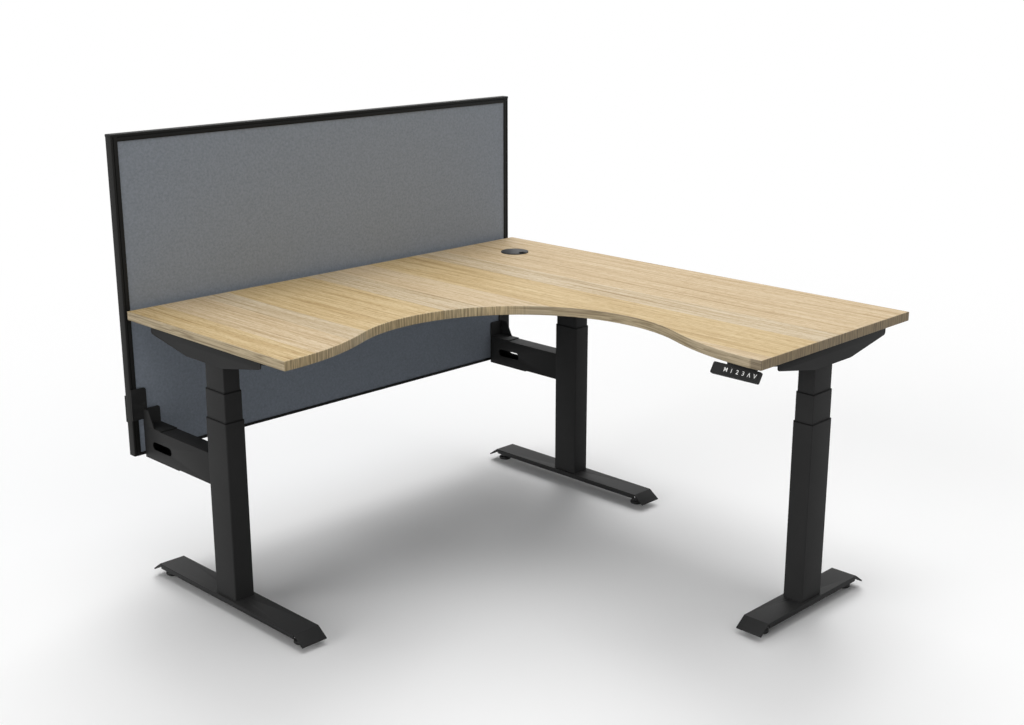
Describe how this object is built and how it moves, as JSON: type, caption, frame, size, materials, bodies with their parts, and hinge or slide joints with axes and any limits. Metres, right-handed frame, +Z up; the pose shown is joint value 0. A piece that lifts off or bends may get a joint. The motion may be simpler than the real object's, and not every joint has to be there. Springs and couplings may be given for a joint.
{
  "type": "height-adjustable corner workstation with screen",
  "caption": "L-shaped electric height-adjustable corner desk with oak-look worktop, black column legs and a grey fabric screen along its back edge.",
  "frame": {"origin": "on the floor under the middle of the whole object's bounding box", "axes": "+X along the screen from the left wing to the corner, +Y from the right wing's end towards the screen, +Z up"},
  "size_m": [1.5, 1.5844, 1.27],
  "materials": {
    "oak": "satin melamine with an oak grain",
    "oak_edge": "satin edge band with an oak grain",
    "black_steel": "fine matt black powder coat",
    "black_aluminium": "matt black coating",
    "black_plastic": "matt",
    "key_plastic": "satin, with printed signs",
    "grey_fabric": "plain woven panel cloth",
    "core_board": "raw fibreboard",
    "cast_housing": "as cast",
    "glide_steel": "black coated steel with a plastic shoe",
    "black_zinc": "black zinc plate",
    "zinc": "bright zinc plate"
  },
  "bodies": {
    "base": {"left_foot": "black_steel", "corner_foot": "black_steel", "left_outer_tube": "black_steel", "corner_outer_tube": "black_steel", "outer_collars": "black_plastic", "lower_spindles": "zinc", "left_arm": "black_steel", "corner_arm": "black_steel", "left_bracket": "black_steel", "corner_bracket": "black_steel", "clamp_plates": "black_steel", "base_bolts": "black_zinc", "left_post": "black_aluminium", "right_post": "black_aluminium", "top_rail": "black_aluminium", "bottom_rail": "black_aluminium", "screen_core": "core_board", "fabric_tiles": "grey_fabric"},
    "top": {"worktop": "oak", "edge_band": "oak_edge", "grommet_liner": "black_plastic", "left_support": "black_steel", "corner_support": "black_steel", "right_support": "black_steel", "left_rails": "black_steel", "right_rails": "black_steel", "frame_bolts": "zinc", "worktop_screws": "zinc", "gearboxes": "cast_housing", "lift_motors": "black_steel", "control_box": "black_plastic", "handset_body": "black_plastic", "left_inner_tube": "black_steel", "corner_inner_tube": "black_steel", "right_inner_tube": "black_steel", "upper_spindles": "zinc"},
    "left_stage": {"left_middle_tube": "black_steel", "left_middle_collar": "black_plastic"},
    "corner_stage": {"corner_middle_tube": "black_steel", "corner_middle_collar": "black_plastic"},
    "right_stage": {"right_middle_tube": "black_steel", "right_middle_collar": "black_plastic"},
    "right_base": {"right_foot": "black_steel", "right_outer_tube": "black_steel", "right_outer_collar": "black_plastic", "right_lower_spindle": "zinc", "right_foot_bolts": "black_zinc"},
    "port_cap": {"grommet_cap": "black_plastic"},
    "key_memory_body": {"key_memory": "key_plastic"},
    "key_one_body": {"key_one": "key_plastic"},
    "key_two_body": {"key_two": "key_plastic"},
    "key_three_body": {"key_three": "key_plastic"},
    "key_up_body": {"key_up": "key_plastic"},
    "key_down_body": {"key_down": "key_plastic"},
    "left_front_foot_glide": {"left_front_glide": "glide_steel"},
    "left_rear_foot_glide": {"left_rear_glide": "glide_steel"},
    "corner_front_foot_glide": {"corner_front_glide": "glide_steel"},
    "corner_rear_foot_glide": {"corner_rear_glide": "glide_steel"},
    "right_front_foot_glide": {"right_front_glide": "glide_steel"},
    "right_rear_foot_glide": {"right_rear_glide": "glide_steel"}
  },
  "joints": [
    {"name": "height", "type": "slide", "parent": "base", "child": "top", "axis": [0, 0, 1], "range_m": [-0.13, 0.51]},
    {"name": "left_stage_slide", "type": "slide", "parent": "base", "child": "left_stage", "axis": [0, 0, 1], "range_m": [-0.065, 0.255]},
    {"name": "corner_stage_slide", "type": "slide", "parent": "base", "child": "corner_stage", "axis": [0, 0, 1], "range_m": [-0.065, 0.255]},
    {"name": "right_stage_slide", "type": "slide", "parent": "top", "child": "right_stage", "axis": [0, 0, -1], "range_m": [-0.065, 0.255]},
    {"name": "right_base_slide", "type": "slide", "parent": "top", "child": "right_base", "axis": [0, 0, -1], "range_m": [-0.13, 0.51]},
    {"name": "port_cap_turn", "type": "hinge", "parent": "top", "child": "port_cap", "pos_m": [0.572, 0.54885, 0.79], "axis": [0, 0, 1], "continuous": true},
    {"name": "key_memory_press", "type": "slide", "parent": "top", "child": "key_memory_body", "axis": [0.848, 0, -0.5299], "range_m": [0, 0.0008], "stiffness_N_per_m": 1500, "springref_m": -0.0004},
    {"name": "key_one_press", "type": "slide", "parent": "top", "child": "key_one_body", "axis": [0.848, 0, -0.5299], "range_m": [0, 0.0008], "stiffness_N_per_m": 1500, "springref_m": -0.0004},
    {"name": "key_two_press", "type": "slide", "parent": "top", "child": "key_two_body", "axis": [0.848, 0, -0.5299], "range_m": [0, 0.0008], "stiffness_N_per_m": 1500, "springref_m": -0.0004},
    {"name": "key_three_press", "type": "slide", "parent": "top", "child": "key_three_body", "axis": [0.848, 0, -0.5299], "range_m": [0, 0.0008], "stiffness_N_per_m": 1500, "springref_m": -0.0004},
    {"name": "key_up_press", "type": "slide", "parent": "top", "child": "key_up_body", "axis": [0.848, 0, -0.5299], "range_m": [0, 0.0008], "stiffness_N_per_m": 1500, "springref_m": -0.0004},
    {"name": "key_down_press", "type": "slide", "parent": "top", "child": "key_down_body", "axis": [0.848, 0, -0.5299], "range_m": [0, 0.0008], "stiffness_N_per_m": 1500, "springref_m": -0.0004},
    {"name": "left_front_glide_level", "type": "slide", "parent": "base", "child": "left_front_foot_glide", "axis": [0, 0, -1], "range_m": [0, 0.012]},
    {"name": "left_rear_glide_level", "type": "slide", "parent": "base", "child": "left_rear_foot_glide", "axis": [0, 0, -1], "range_m": [0, 0.012]},
    {"name": "corner_front_glide_level", "type": "slide", "parent": "base", "child": "corner_front_foot_glide", "axis": [0, 0, -1], "range_m": [0, 0.012]},
    {"name": "corner_rear_glide_level", "type": "slide", "parent": "base", "child": "corner_rear_foot_glide", "axis": [0, 0, -1], "range_m": [0, 0.012]},
    {"name": "right_front_glide_level", "type": "slide", "parent": "right_base", "child": "right_front_foot_glide", "axis": [0, 0, -1], "range_m": [0, 0.012]},
    {"name": "right_rear_glide_level", "type": "slide", "parent": "right_base", "child": "right_rear_foot_glide", "axis": [0, 0, -1], "range_m": [0, 0.012]}
  ],
  "couplings": [
    {"joint": "left_stage_slide", "follows": "height", "ratio": 0.5},
    {"joint": "corner_stage_slide", "follows": "height", "ratio": 0.5},
    {"joint": "right_stage_slide", "follows": "height", "ratio": 0.5},
    {"joint": "right_base_slide", "follows": "height", "ratio": 1}
  ]
}
